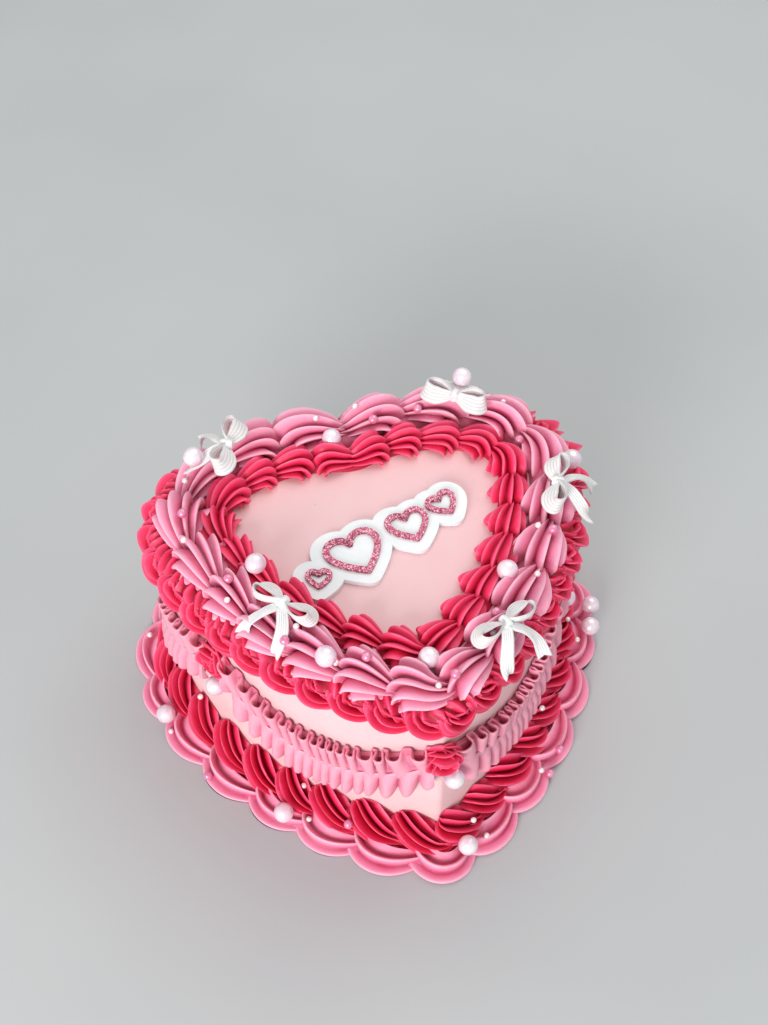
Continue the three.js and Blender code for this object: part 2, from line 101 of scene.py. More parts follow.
PETAL = [
    [-0.1, 2.6, 0.4, 0.5], [0.02, 1.8, 0.8, 0.84], [0.22, 0.4, 1.0, 1.0],
    [0.46, -0.4, 1.02, 0.98], [0.72, 0.0, 0.84, 0.78], [0.96, 1.2, 0.54, 0.5],
    [1.14, 2.6, 0.26, 0.26],
]

# Piped borders. offset, tip and notch give a row's path, across and high the size of its shells,
# and form or curl how each grows, in so many steps. drift makes the shells longer at the back.
# ribs are as many as would fit right round a shell, groove is the depth between them, sharp thins
# their crests, lean tips each over the next, arc is how far they reach to each side, lip puts one at
# that angle on the outer side and smooth leaves out those beyond that angle. back lengthens the
# head, sweep carries the tail outwards and hang lets the outer side drop over the edge of the cake.
# On the wall, slope leans a row, and knee and room keep it below the row above. middle or corner is
# where a row off the top has its middle. bed or rope is the icing below: [across, half width,
# height] or [out, height, radius, folds]. inwards moves a stretch of a row in and fuller makes one
# stand out by a share: [middle of the stretch, spread, amount].
INNER_ROW = dict(
    offset=-23.6, tip=8, notch=16, shells=22, seed=11, across=18.4, high=10.4, form=SHORT_SHELL,
    ribs=11, groove=0.52, sharp=1.05, arc=104, lean=0.12, steps=36, place="top", back=0.95, sweep=1.6,
    bed=(1, 6.4, 3),
)
MAIN_ROW = dict(
    offset=-7.2, tip=11.5, notch=14, shells=19, drift=(0.024, 0.008), seed=23, across=24.4, high=14,
    form=LONG_SHELL, ribs=11, groove=0.54, sharp=1, arc=104, lean=0.16, steps=46, place="top",
    back=0.95, sweep=1.8, bed=(-1.4, 7.2, 3.6), hang=1.5, inwards=[[0.23, 0.09, 3.2]],
)
OUTER_ROW = dict(
    offset=4, tip=4, notch=9, shells=36, seed=37, across=15.8, high=8.4, curl=LOBE, ribs=10,
    groove=0.74, sharp=1.5, lean=-0.26, steps=39, place="wall", middle=92.6, slope=12, lip=40,
    smooth=56, rope=(-1.2, 94.6, 4.9, 108), knee=94.5, room=3.2,
    fuller=[[0.79, 0.12, 0.54], [0.21, 0.1, 0.26]],
)
BASE_ROW = dict(
    offset=6, tip=6, notch=12, shells=30, seed=41, across=18.8, high=10.8, curl=HOOK, ribs=13,
    groove=0.56, sharp=1.6, lean=-0.16, steps=38, place="corner", corner=(3.1, 7.3), bed=(2, 7.6, 3.6),
)
SCALLOP_ROW = dict(
    offset=15, tip=15, notch=8, shells=23, seed=53, across=16, high=9.2, curl=SCALLOP_LOBE, ribs=7.2,
    groove=0.42, sharp=1.4, lean=-0.08, steps=48, place="floor", middle=12.4, lip=80, bed=(-2, 7, 4),
)
SHELL_VARIATION = 0.07
SHELL_JITTER = 0.07
SHELL_SHIFT = 8
SHELL_ARC = 126
RIB_POINTS = 8
SHARP_FROM = math.radians(62)
BED_TURNS = 240
BED_POINTS = 9
ROPE_TURNS = 800
ROPE_ANGLES = np.radians([*np.linspace(-45, 105, 14), 150, 195, 240, 280])

# Ruffled swags hung round the side between rosettes. pleat is the length of a pleat, strong and
# loose how much its depth and place vary, and slant how far it leans, in pleats.
SWAG = dict(count=5, clear=4.8, hang=62.5, sag=20, upper=17.2, lower=17.5, ends=0.8, thick=0.9)
UPPER = dict(pleat=6.3, strong=(0.65, 1.3), loose=0.32, slant=0.45)
LOWER = dict(pleat=6.4, strong=(0.8, 1.15), loose=0.16, slant=0.06)
PLEAT_POINTS = 15
RUFFLE_POINTS = 11
BACKING_POINTS = 60
ROSETTE = dict(
    z=67.4, shells=4, ring=4.6, pitch=11.5, across=9.4, high=7, curl=PETAL, ribs=9, groove=0.62,
    sharp=1.2, lean=-0.2, steps=29,
)

# Pearls: radius, rings, points round. Small and medium ones lie on three rows, at [turn, out from
# the wall], lowered from below the rows that hang over theirs.
PEARLS = dict(large=(4.25, 18, 30), medium=(2, 12, 20), small=(1.3, 8, 14))
PEARL_SINK = 0.35
TOPPINGS = [
    dict(row=MAIN_ROW, drop_from=140, small=15, medium=[
        [0.208, -10.4], [0.296, -9.9], [0.373, -2.4], [0.439, -9.7], [0.511, -4.4], [0.585, -11],
        [0.683, -4], [0.809, -14], [0.926, -11.7], [0.974, -14.4],
    ]),
    dict(row=BASE_ROW, drop_from=50, small=9, medium=[[0.429, 9.8], [0.12, 9], [0.83, 9.5]]),
    dict(row=SCALLOP_ROW, drop_from=50, small=9, medium=[
        [0.602, 19.6], [0.618, 19.4], [0.316, 20], [0.96, 18.6],
    ]),
]

# Ribbon bows: where each knot stands and the direction its tails point, in degrees
BOWS = [
    dict(x=-52.1, y=57.3, tails=152), dict(x=49.8, y=64.1, tails=53), dict(x=75.9, y=6, tails=-24),
    dict(x=31.6, y=-55.8, tails=-68), dict(x=-48.4, y=-24.9, tails=218),
]
RIBBON = dict(
    wide=7.4, pinch=3.4, thick=0.8, lean=(-0.35, 0.95), fork=2.4, cord=0.11, cords=5, samples=21
)
LOOP = dict(start=0.8, length=13.6, half=3.0, steps=50)
TAIL = dict(
    spread=0.5, wide=5.3, steps=30,
    line=[[0.6, -0.4], [4, -0.9], [7, -1.4], [10, -2.9], [13, -5], [15.4, -7.8], [17.6, -11.2]],
)
KNOT = dict(half=2.5, wide=2.1, high=2.3, cord=0.9, points=24, below_top=2.43)

# Plaque on the flat icing, and its hearts: [x, y, width, turn in degrees, stroke]
PLAQUE = dict(low=0.05, high=2.3, border=5, raised=1.3, sunk=0.05, edge=0.35, points=8)
PLAQUE_HEARTS = [
    [-12, 1.5, 25, 14, 2.8], [13, 9.5, 19, 10, 2.6], [30, 17, 14, 22, 2.4], [-30, -7, 11, -12, 2.1],
]

# Floor and the place the lights face, in metres, and the photo's view, its focal length in pixels
FLOOR_HALF = 3
LIT = (0, 0, 0.07)
CAMERA = dict(
    place=(-105.7, -361.7, 573.0), pitch=49.97, heading=16.18, focal=1480, height=1025, sensor=36
)


def random_from(seed):
    """Seeded random numbers from 0 to 1, the same as in the CAD source."""
    state = seed

    def draw():
        nonlocal state
        state = (state * 1664525 + 1013904223) & 0xFFFFFFFF
        return state / 4294967296

    return draw


# Centres of the arcs in the heart's right half
SHOULDER = np.array([HALF_WIDTH - SHOULDER_RADIUS, SHOULDER_Y])


def flank_centre():
    line = SHOULDER - [0, TIP_Y]
    apart = np.hypot(*line)
    line = line / apart
    near = FLANK_RADIUS - SHOULDER_RADIUS
    along = (FLANK_RADIUS**2 - near**2 + apart**2) / (2 * apart)
    aside = math.sqrt(FLANK_RADIUS**2 - along**2)
    return np.array([line[0] * along - line[1] * aside, TIP_Y + line[1] * along + line[0] * aside])


FLANK = flank_centre()
TOP_ARC = SHOULDER + np.array([math.cos(SHOULDER_END), math.sin(SHOULDER_END)]) * (
    SHOULDER_RADIUS - TOP_RADIUS
)


class HeartPath:
    """A closed path outside the heart by an offset, its tip and notch rounded."""

    def __init__(self, offset, tip, notch, **_):
        flank_radius = FLANK_RADIUS + offset
        top_radius = TOP_RADIUS + offset
        tip_y = FLANK[1] - math.sqrt((flank_radius - tip) ** 2 - FLANK[0] ** 2)
        notch_y = TOP_ARC[1] + math.sqrt((top_radius + notch) ** 2 - TOP_ARC[0] ** 2)
        tip_end = math.atan2(tip_y - FLANK[1], -FLANK[0])
        flank_end = math.atan2(SHOULDER[1] - FLANK[1], SHOULDER[0] - FLANK[0])
        top_end = math.atan2(notch_y - TOP_ARC[1], -TOP_ARC[0])
        arcs = [
            [0, tip_y, tip, -math.pi / 2, tip_end, 1],
            [*FLANK, flank_radius, tip_end, flank_end, 1],
            [*SHOULDER, SHOULDER_RADIUS + offset, flank_end, SHOULDER_END, 1],
            [*TOP_ARC, top_radius, SHOULDER_END, top_end, 1],
            [0, notch_y, notch, top_end - math.pi, -math.pi / 2, -1],
        ]
        self.arcs = np.array(arcs, float)
        runs = self.arcs[:, 2] * np.abs(self.arcs[:, 4] - self.arcs[:, 3])
        self.starts = np.concatenate([[0], np.cumsum(runs)[:-1]])
        self.half = runs.sum()
        self.length = 2 * self.half
        self.offset = offset

    def at(self, turn, out):
        """Points a share of the way round, counter-clockwise from the notch, and out from the wall."""
        turn, out = np.broadcast_arrays(np.asarray(turn, float), np.asarray(out, float))
        place = (turn - np.floor(turn)) * self.length
        mirror = np.where(place < self.half, -1.0, 1.0)
        run = np.abs(place - self.half)
        k = np.searchsorted(self.starts, run, side="right") - 1
        x, y, radius, start, _, side = np.moveaxis(self.arcs[k], -1, 0)
        angle = start + side * (run - self.starts[k]) / radius
        reach = np.maximum(radius + side * (out - self.offset), 0.05)
        return mirror * (x + reach * np.cos(angle)), y + reach * np.sin(angle)


def smooth_table(table, steps):
    """Rows of a table joined by a smooth curve through them, at even steps."""
    table = np.asarray(table, float)
    n = len(table)
    where = np.linspace(0, n - 1, steps)
    i = np.clip(where.astype(int), 0, n - 2)
    f = (where - i)[:, None]
    before, a, b, after = (table[np.clip(i + k, 0, n - 1)] for k in (-1, 0, 1, 2))
    square, cube = 2 * before - 5 * a + 4 * b - after, 3 * a - before - 3 * b + after
    return 0.5 * (2 * a + (b - before) * f + square * f**2 + cube * f**3)


class Form:
    """Vertices and faces of one piece, gathered from closed bands."""

    def __init__(self):
        self.points, self.faces, self.shade = [], [], []
        self.count = 0

    def band(self, rings, wrap=False, shade=None):
        """Rings of points, each joined to the next, with a cap at both ends unless they wrap."""
        rings = np.asarray(rings, float)
        n, m = rings.shape[:2]
        points = rings.reshape(-1, 3)
        marks = np.zeros(n * m) if shade is None else np.asarray(shade, float).reshape(-1)
        i = np.arange(n if wrap else n - 1)[:, None]
        j = np.arange(m)[None, :]
        a, b = i * m + j, ((i + 1) % n) * m + j
        c, d = ((i + 1) % n) * m + (j + 1) % m, i * m + (j + 1) % m
        quads = np.stack([a, b, c, d], -1).reshape(-1, 4)
        caps = []
        if not wrap:
            points = np.vstack([points, rings[0].mean(0), rings[-1].mean(0)])
            marks = np.append(marks, [marks[:m].mean(), marks[-m:].mean()])
            k = np.arange(m)
            last = (n - 1) * m
            caps = [
                np.stack([np.full(m, n * m), k, (k + 1) % m], -1),
                np.stack([np.full(m, n * m + 1), last + (k + 1) % m, last + k], -1),
            ]
        if signed_volume(points, [quads, *caps]) < 0:
            quads = quads[:, ::-1]
            caps = [cap[:, ::-1] for cap in caps]
        self.points.append(points)
        self.shade.append(marks)
        for block in [quads, *caps]:
            self.faces.extend((block + self.count).tolist())
        self.count += len(points)

    def make(self, name, finish, slot, smooth=True):
        points = np.vstack(self.points)
        mesh = bpy.data.meshes.new(name)
        mesh.from_pydata((points * MM).tolist(), [], self.faces)
        mesh.polygons.foreach_set("use_smooth", np.full(len(mesh.polygons), smooth))
        mesh.set_sharp_from_angle(angle=SHARP_FROM)
        # The groove attribute holds how deep each point lies, which the finishes paint as shade in the
        # hollows and, on icing, as highlight on the crests.
        mark = mesh.attributes.new("groove", "FLOAT", "POINT")
        mark.data.foreach_set("value", np.concatenate(self.shade).astype(np.float32))
        mesh.update()
        return placed(name, mesh, finish)


def placed(name, mesh, finish):
    """A mesh put in the scene as a piece of the cake."""
    mesh.materials.append(finish)
    piece = bpy.data.objects.new(name, mesh)
    bpy.context.collection.objects.link(piece)
    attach(piece, "root")
    return piece


def signed_volume(points, blocks):
    total = 0.0
    for faces in blocks:
        for k in range(1, faces.shape[1] - 1):
            a, b, c = points[faces[:, 0]], points[faces[:, k]], points[faces[:, k + 1]]
            total += np.einsum("ij,ij->i", a, np.cross(b, c)).sum()
    return total


def sheet_rings(grid, thick):
    """A sheet of points [along, across] made thick, with round rims, as closed sections."""
    along = np.gradient(grid, axis=0)
    across = np.gradient(grid, axis=1)
    normal = np.cross(along, across)
    normal /= np.maximum(np.linalg.norm(normal, axis=2, keepdims=True), 1e-9)
    half = thick / 2

    def rim(edge, inside):
        outwards = grid[:, edge] - grid[:, inside]
        outwards /= np.maximum(np.linalg.norm(outwards, axis=1, keepdims=True), 1e-9)
        return (grid[:, edge] + outwards * half * 0.9)[:, None]

    front = grid + normal * half
    back = (grid - normal * half)[:, ::-1]
    return np.concatenate([front, rim(-1, -2), back, rim(0, 1)], axis=1)


# Shells of the piped borders
def ribbed(row, random):
    """Angle, radius and depth between the ribs, for each ring of a shell and each point of a ring; the
    depth is painted as shade.
    """
    ribs = row["ribs"]
    phase = random.uniform(0, TAU)
    if "lip" in row:
        phase = -ribs * math.radians(row["lip"]) + random.uniform(-0.5, 0.5)
    reach = row.get("arc", SHELL_ARC) + random.uniform(-4, 4)
    even = np.radians(np.linspace(-reach, reach, int(round(reach / 180 * ribs * RIB_POINTS))))
    angle = even - 0.4 * np.sin(ribs * even + phase) / ribs
    t = np.linspace(0, 1, row["steps"])[:, None]
    wave = ribs * (angle + random.uniform(-0.1, 0.1) * (t - 0.4)) + phase
    crest = (0.5 + 0.5 * np.cos(wave)) ** row["sharp"]
    rib = np.floor(wave / TAU + 0.5).astype(int)
    uneven = random.uniform(-0.08, 0.08, 64)[rib % 64]
    depth = row["groove"] * (0.65 + 0.35 * np.clip(t / 0.1, 0, 1)) * np.ones_like(angle)
    if "smooth" in row:
        depth = depth * np.clip((math.radians(row["smooth"]) - angle) / 0.2, 0.06, 1)
    swell = 0.025 * np.sin(TAU * (1.4 * t + random.uniform()) + 2 * angle)
    radius = (1 - depth * (1 - crest)) * (1 + uneven * crest + swell)
    around = angle + row["lean"] * crest * np.clip(t / 0.2, 0, 1)
    # The third value, how deep each point lies between ribs, is painted as shade in the finish.
    return around, radius, (1 - crest) * depth / row["groove"]


def shell_surface(row, pitch, size, random):
    """Rings of one shell as (along, across, up), and how deep each point lies between ribs, painted as
    shade.
    """
    place, lift, tilt, thick, wide = smooth_table(row["form"], row["steps"]).T
    tilt = np.radians(tilt)
    around, radius, valley_shade = ribbed(row, random)
    back = radius * np.cos(around) * (thick * row["high"] * size)[:, None]
    side = radius * np.sin(around) * (wide * row["across"] / 2 * size)[:, None]
    side = side + (row["sweep"] * ((place - place[0]) / (place[-1] - place[0]) - 0.3))[:, None]
    stretch = row["back"] * pitch * 0.42 / (row["high"] * 0.9)
    lengthen = 1 + (stretch - 1) * np.cos(tilt) ** 2
    along = (place * pitch)[:, None] - back * (np.cos(tilt) * lengthen)[:, None]
    up = (lift * row["high"])[:, None] + back * np.sin(tilt)[:, None]
    return np.stack([along, side, up], -1), valley_shade


def curl_surface(row, pitch, size, random):
    """Rings of one curled shell, square to its bent middle line, as (along, across, up)."""
    place, over, thick, wide = smooth_table(row["curl"], row["steps"]).T
    x, y = place * pitch, over * size
    dx, dy = np.gradient(x), np.gradient(y)
    heading = np.unwrap(np.arctan2(dy, dx))
    bend = np.hypot(dx, dy) / np.maximum(np.abs(np.gradient(heading)), 1e-3)
    around, radius, valley_shade = ribbed(row, random)
    side = radius * np.sin(around) * (wide * row["across"] / 2 * size)[:, None]
    inner = -0.92 * bend[:, None]
    side = np.where(side < inner * 0.6, inner * (1 - 0.4 * np.exp((side / inner - 0.6) / -0.4)), side)
    up = radius * np.cos(around) * (thick * row["high"] * size)[:, None]
    along = x[:, None] - side * np.sin(heading)[:, None]
    across = y[:, None] + side * np.cos(heading)[:, None]
    return np.stack([along, across, up], -1), valley_shade


def stretched(row, kind, turn):
    """How much a row is moved or grown at each place on the way round."""
    turn = turn - np.floor(turn)
    total = 0.0
    for middle, spread, amount in row.get(kind, []):
        total = total + amount * np.exp(-(((turn - middle) / spread) ** 2))
    return total


def on_row(row, path, turn, across, up):
    """Points of a shell put on the top, on the wall, in the corner at the foot or on the floor."""
    if row["place"] == "top":
        out = row["offset"] + across - stretched(row, "inwards", turn)
        z = BODY_HEIGHT - SINK + np.maximum(up, -np.clip(out + 2, 0, row.get("hang", 0)))
    elif row["place"] == "wall":
        c, s = math.cos(math.radians(row["slope"])), math.sin(math.radians(row["slope"]))
        out, z = c * up + s * across, row["middle"] + s * up - c * across
        above = np.maximum(z - row["knee"], 0)
        z = np.minimum(z, row["knee"]) + row["room"] * (1 - np.exp(-above / row["room"]))
        out = np.maximum(out, WALL_GAP) * (1 + stretched(row, "fuller", turn))
    elif row["place"] == "corner":
        slope = math.sqrt(0.5)
        out = np.maximum(row["corner"][0] + slope * (up + across), WALL_GAP)
        z = np.maximum(row["corner"][1] + slope * (up - across), FLOOR_GAP)
    else:
        out, z = row["middle"] + across, np.maximum(up - SINK, FLOOR_GAP)
    x, y = path.at(turn, out)
    return np.stack([x, y, z], -1)


def shell_start(row, place):
    """Where a shell starts, as a share of the way round. Shells may be longer at the back."""
    share = np.asarray(place) / row["shells"]
    wave, lag = row.get("drift", (0, 0))
    return share + wave * np.sin(TAU * share) - lag * (1 - np.cos(TAU * share))


def add_row(name, node, row, finish, slot):
    path = HeartPath(**row)
    draw = random_from(row["seed"])
    random = np.random.default_rng(row["seed"])
    form = Form()
    jitter = random.uniform(-SHELL_JITTER, SHELL_JITTER, row["shells"] + 1)
    jitter[[0, 1, -1]] = 0
    for i in range(row["shells"]):
        start, end = shell_start(row, i + jitter[i]), shell_start(row, i + 1 + jitter[i + 1])
        pitch = path.length * (end - start)
        size = 1 - SHELL_VARIATION * draw()
        shift = (draw() - 0.5) * SHELL_VARIATION * SHELL_SHIFT
        surface = curl_surface if "curl" in row else shell_surface
        points, valley_shade = surface(row, pitch, size, random)
        along, across, up = np.moveaxis(points, -1, 0)
        turn = end - along / path.length if i == 0 else start + along / path.length
        form.band(on_row(row, path, turn, across + shift, up), shade=valley_shade)
    form.band(*(rope_rings(row, path, random) if "rope" in row else bed_rings(row, path)))
    piece = form.make(name, finish, slot)
    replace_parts(piece, node)
    return piece


def bed_rings(row, path):
    """A low strip of icing under a row, its ends joined, and its painted shade: a fixed deep tone where
    it shows between the shells.
    """
    middle, half, high = row["bed"]
    angle = np.linspace(-math.pi / 2, math.pi / 2, BED_POINTS)
    turn = np.arange(BED_TURNS)[:, None] / BED_TURNS + 0 * angle
    across, up = middle + half * np.sin(angle) + 0 * turn, high * np.cos(angle) + 0 * turn
    # Painted shade: the strip is coloured 0.8 deep, dark like the shade in the gaps between shells.
    return on_row(row, path, turn, across, up), True, np.full(turn.shape, 0.8)


def rope_rings(row, path, random):
    """Folded icing round the top edge of the cake, its ends joined, and how deep it lies between its
    folds, painted as shade.
    """
    out, z, radius, folds = row["rope"]
    turn = np.arange(ROPE_TURNS)[:, None] / ROPE_TURNS
    angle = ROPE_ANGLES[None, :]

    def wave(times):
        return np.sin(TAU * (times * turn + random.uniform()))

    drift = sum(random.uniform(0.5, 1) * wave(times) for times in (7, 13, 23, 37))
    uneven = 1 + 0.5 * wave(17) * wave(31)
    twist = 3.2 * angle + 1.1 * np.sin(2 * angle + 2 * wave(19))
    crest = (0.5 + 0.5 * np.cos(TAU * folds * turn + drift + twist)) ** 1.3
    reach = radius * (1 + (0.42 * crest - 0.26) * uneven)
    full = 1 + stretched(row, "fuller", turn)
    x, y = path.at(turn, out + reach * np.cos(angle) * full)
    # 1 - crest is painted shade, deepest in the hollows between the folds.
    return np.stack([x, y, z + reach * np.sin(angle)], -1), True, 1 - crest


# Materials
def node_of(tree, kind, inputs=(), **settings):
    node = tree.nodes.new(kind)
    for key, value in settings.items():
        setattr(node, key, value)
    for key, value in dict(inputs).items():
        if isinstance(value, bpy.types.NodeSocket):
            tree.links.new(value, node.inputs[key])
        else:
            node.inputs[key].default_value = value
    return node


def srgb(code):
    """Linear colour from a six-digit code."""
    parts = [int(code[k : k + 2], 16) / 255 for k in (0, 2, 4)]
    return [c / 12.92 if c <= 0.04045 else ((c + 0.055) / 1.055) ** 2.4 for c in parts] + [1]


def new_material(name):
    material = bpy.data.materials.new(name)
    material.use_nodes = True
    return material, material.node_tree


def mixed(tree, share, a, b):
    return node_of(tree, "ShaderNodeMix", {0: share, 6: a, 7: b}, data_type="RGBA").outputs[2]


def calculated(tree, operation, a, b):
    return node_of(tree, "ShaderNodeMath", {0: a, 1: b}, operation=operation).outputs[0]


def mapped(tree, field, **ends):
    """A field mapped to other ends, given as From or To and Min or Max."""
    inputs = {key.replace("_", " "): value for key, value in ends.items()}
    return node_of(tree, "ShaderNodeMapRange", {"Value": field, **inputs}).outputs["Result"]


def ramped(tree, field, tones):
    """Colours at places along a field."""
    ramp = node_of(tree, "ShaderNodeValToRGB", dict(Fac=field))
    stops = ramp.color_ramp.elements
    while len(stops) < len(tones):
        stops.new(0.5)
    for stop, (place, tone) in zip(stops, tones):
        stop.position, stop.color = place, srgb(tone)
    return ramp.outputs["Color"]


def place_in(tree):
    """Places on the piece, in metres."""
    where = tree.nodes.get("Where") or node_of(tree, "ShaderNodeTexCoord", name="Where")
    return where.outputs["Object"]


def noise(tree, scale, detail=3):
    """Noise spread over 0 to 1. The scale is per metre."""
    inputs = dict(Vector=place_in(tree), Scale=scale, Detail=detail, Roughness=0.5)
    field = node_of(tree, "ShaderNodeTexNoise", inputs).outputs["Fac"]
    return mapped(tree, field, From_Min=0.35, From_Max=0.65)


def grains(tree, scale):
    """Cells of a size, each with its own colour."""
    inputs = dict(Vector=place_in(tree), Scale=scale, Randomness=1.0)
    return node_of(tree, "ShaderNodeTexVoronoi", inputs).outputs


def painted_groove_shade(tree):
    """How deep each point lies between ribs or cords, from the mesh: the field that the finishes paint
    as shade.
    """
    return node_of(tree, "ShaderNodeAttribute", attribute_name="groove").outputs["Fac"]


def bumped(tree, heights):
    """A normal from several [height, distance in millimetres, strength]."""
    normal = None
    for height, distance, strength in heights:
        inputs = {"Height": height, "Distance": distance * MM, "Strength": strength}
        if normal is not None:
            inputs["Normal"] = normal
        normal = node_of(tree, "ShaderNodeBump", inputs).outputs["Normal"]
    return normal


def finished(material, colour, heights=(), gloss=None, **plain):
    """The material with its colour, its relief, its gloss as [field, least, most], and plain values."""
    tree = material.node_tree
    shader = tree.nodes["Principled BSDF"]
    tree.links.new(colour, shader.inputs["Base Color"])
    if heights:
        tree.links.new(bumped(tree, heights), shader.inputs["Normal"])
    if gloss:
        field, least, most = gloss
        tree.links.new(mapped(tree, field, To_Min=least, To_Max=most), shader.inputs["Roughness"])
    for key, value in plain.items():
        shader.inputs[key.replace("_", " ")].default_value = value
    return material


def icing(name, tones, pale, air_hole_shade=0.0, rough=0.46, soft=0.2, streaks=False):
    """Whipped icing: palest on its crests, a painted highlight, and deepest between them, painted
    shade; with dark specks of painted shade in fine air holes, and smears.
    """
    material, tree = new_material(name)
    # Painted light: the ramp runs from a painted highlight on the crests to painted shade deep between
    # the ribs and folds.
    colour = ramped(tree, painted_groove_shade(tree), tones)
    cloud = noise(tree, 45, detail=4)
    colour = mixed(tree, calculated(tree, "MULTIPLY", cloud, 0.3), colour, srgb(pale))
    if air_hole_shade:
        # Dark specks: painted shade in fine air holes, which the surface does not have as real pits.
        cells = grains(tree, 170)
        dot = calculated(tree, "LESS_THAN", cells["Distance"], 0.034)
        some = calculated(tree, "GREATER_THAN", cells["Color"], 0.45)
        share = calculated(tree, "MULTIPLY", calculated(tree, "MULTIPLY", dot, some), air_hole_shade)
        colour = mixed(tree, share, colour, srgb("6a3a3c"))
    fine = noise(tree, 1500, detail=2)
    if streaks:
        squeeze = dict(Vector=place_in(tree), Scale=(14, 14, 420))
        squeezed = node_of(tree, "ShaderNodeMapping", squeeze).outputs[0]
        field = node_of(tree, "ShaderNodeTexNoise", dict(Vector=squeezed, Scale=1.0, Detail=3))
        lines, waves = field.outputs["Fac"], noise(tree, 30, detail=2)
        heights = [[lines, 0.5, 0.35], [waves, 1.6, 0.3], [fine, 0.05, 0.3]]
    else:
        heights = [[noise(tree, 260), 0.22, 0.5], [fine, 0.06, 0.4]]
    return finished(
        material, colour, heights, [cloud, rough - 0.06, rough + 0.08], Subsurface_Weight=soft,
        Subsurface_Radius=(1.0, 0.45, 0.4), Subsurface_Scale=2.2 * MM, Specular_IOR_Level=0.36,
    )


def pearl_finish(name, light, tint):
    """Sugar pearl: a soft painted lustre, its colour drifting at random between two tints, under a
    clear coat.
    """
    material, tree = new_material(name)
    # Painted lustre: the colour drifts at random between the two tints in place of the pearl's sheen.
    drift = noise(tree, 180, detail=2)
    heights = [[noise(tree, 420), 0.07, 0.4], [noise(tree, 2400, detail=2), 0.02, 0.4]]
    return finished(
        material, mixed(tree, drift, srgb(light), srgb(tint)), heights, [drift, 0.26, 0.36],
        Metallic=0.25, Coat_Weight=0.6, Coat_Roughness=0.12, Subsurface_Weight=0.1,
        Subsurface_Scale=1.5 * MM,
    )


def ribbon_finish():
    """White sugar ribbon with fine cords, and a faint grey of painted shade in its hollows."""
    material, tree = new_material("white_ribbon")
    cloud = noise(tree, 220)
    colour = mixed(tree, cloud, srgb("f5f4f2"), srgb("ecebec"))
    # Painted shade: grey where the groove field is deep, in the hollows between the cords.
    colour = mixed(tree, painted_groove_shade(tree), colour, srgb("bdb8ba"))
    weave = noise(tree, 2600, detail=2)
    return finished(
        material, colour, [[cloud, 0.1, 0.3], [weave, 0.05, 0.6]], [weave, 0.42, 0.62],
        Subsurface_Weight=0.15, Subsurface_Scale=1.2 * MM,
    )


def plaque_finish():
    """Smooth white sheet, very slightly mottled."""
    material, tree = new_material("white_plaque")
    cloud = noise(tree, 90)
    colour = mixed(tree, cloud, srgb("eff2f3"), srgb("e8edee"))
    heights = [[cloud, 0.15, 0.25], [noise(tree, 900), 0.03, 0.3]]
    return finished(material, colour, heights, [cloud, 0.28, 0.42])


def glitter_finish():
    """Glitter: each facet has its own tone, and the near-white ones are painted glints."""
    material, tree = new_material("rose_glitter")
    cells = grains(tree, 2100)
    # The darker stops are the glitter's own tones; the near-white stop paints glints on some facets.
    tones = [(0, "8c2f4c"), (0.5, "b34d6c"), (0.9, "f6c9d4"), (1, "e08aa4")]
    colour = ramped(tree, cells["Color"], tones)
    return finished(material, colour, [[cells["Distance"], 0.1, 0.6]], Metallic=0.55, Roughness=0.34)


PALE = icing(
    "pale_icing", [(0, "ecc3c6"), (1, "e6b7bc")], "f3d3d3", air_hole_shade=0.6, rough=0.5, soft=0.15,
    streaks=True,
)
# These ramps paint light: the first tone is a painted highlight on the crests, the last is painted
# shade deep between ribs, folds and pleats.
HOT = icing(
    "hot_pink_icing", [(0, "fc648b"), (0.2, "ef3c6a"), (0.6, "d61645"), (1, "980016")], "f04e78"
)
ROSE = icing(
    "rose_pink_icing", [(0, "fbbdd0"), (0.2, "f19ab8"), (0.66, "d9648a"), (1, "98092c")], "f6abc4",
    air_hole_shade=0.5,
)
SCALLOP = icing(
    "scallop_icing", [(0, "fbb2c7"), (0.25, "f290b0"), (0.7, "e26a91"), (1, "bb2a54")], "f5abc4"
)
SWAG_PINK = icing("swag_icing", [(0, "efa2b6"), (0.5, "e98da8"), (1, "c8587c")], "eeaaba")
RIBBON_WHITE = ribbon_finish()
PEARL = pearl_finish("sugar_pearl", "fbf3f8", "efd3e6")
PINK_PEARL = pearl_finish("pink_pearl", "f2a6c4", "dd6f9c")
WHITE_PEARL = pearl_finish("white_pearl", "fdf8f6", "f6e6ea")
PLAQUE_WHITE = plaque_finish()
GLITTER = glitter_finish()


# Iced body with a softened top edge and a slightly uneven, scraped wall
def heart_rings(path, count):
    """A function that gives the outline moved inwards, at even angles round its middle."""
    fine = np.arange(BODY["samples"]) / BODY["samples"]
    angle = np.arange(count) * TAU / count - math.pi

    def ring(inset):
        x, y = np.stack(path.at(fine, -inset)) - MIDDLE[:, None]
        around = np.arctan2(y, x)
        order = np.argsort(around)
        reach = np.interp(angle, around[order], np.hypot(x, y)[order], period=TAU)
        return MIDDLE + np.stack([reach * np.cos(angle), reach * np.sin(angle)], -1)

    return ring


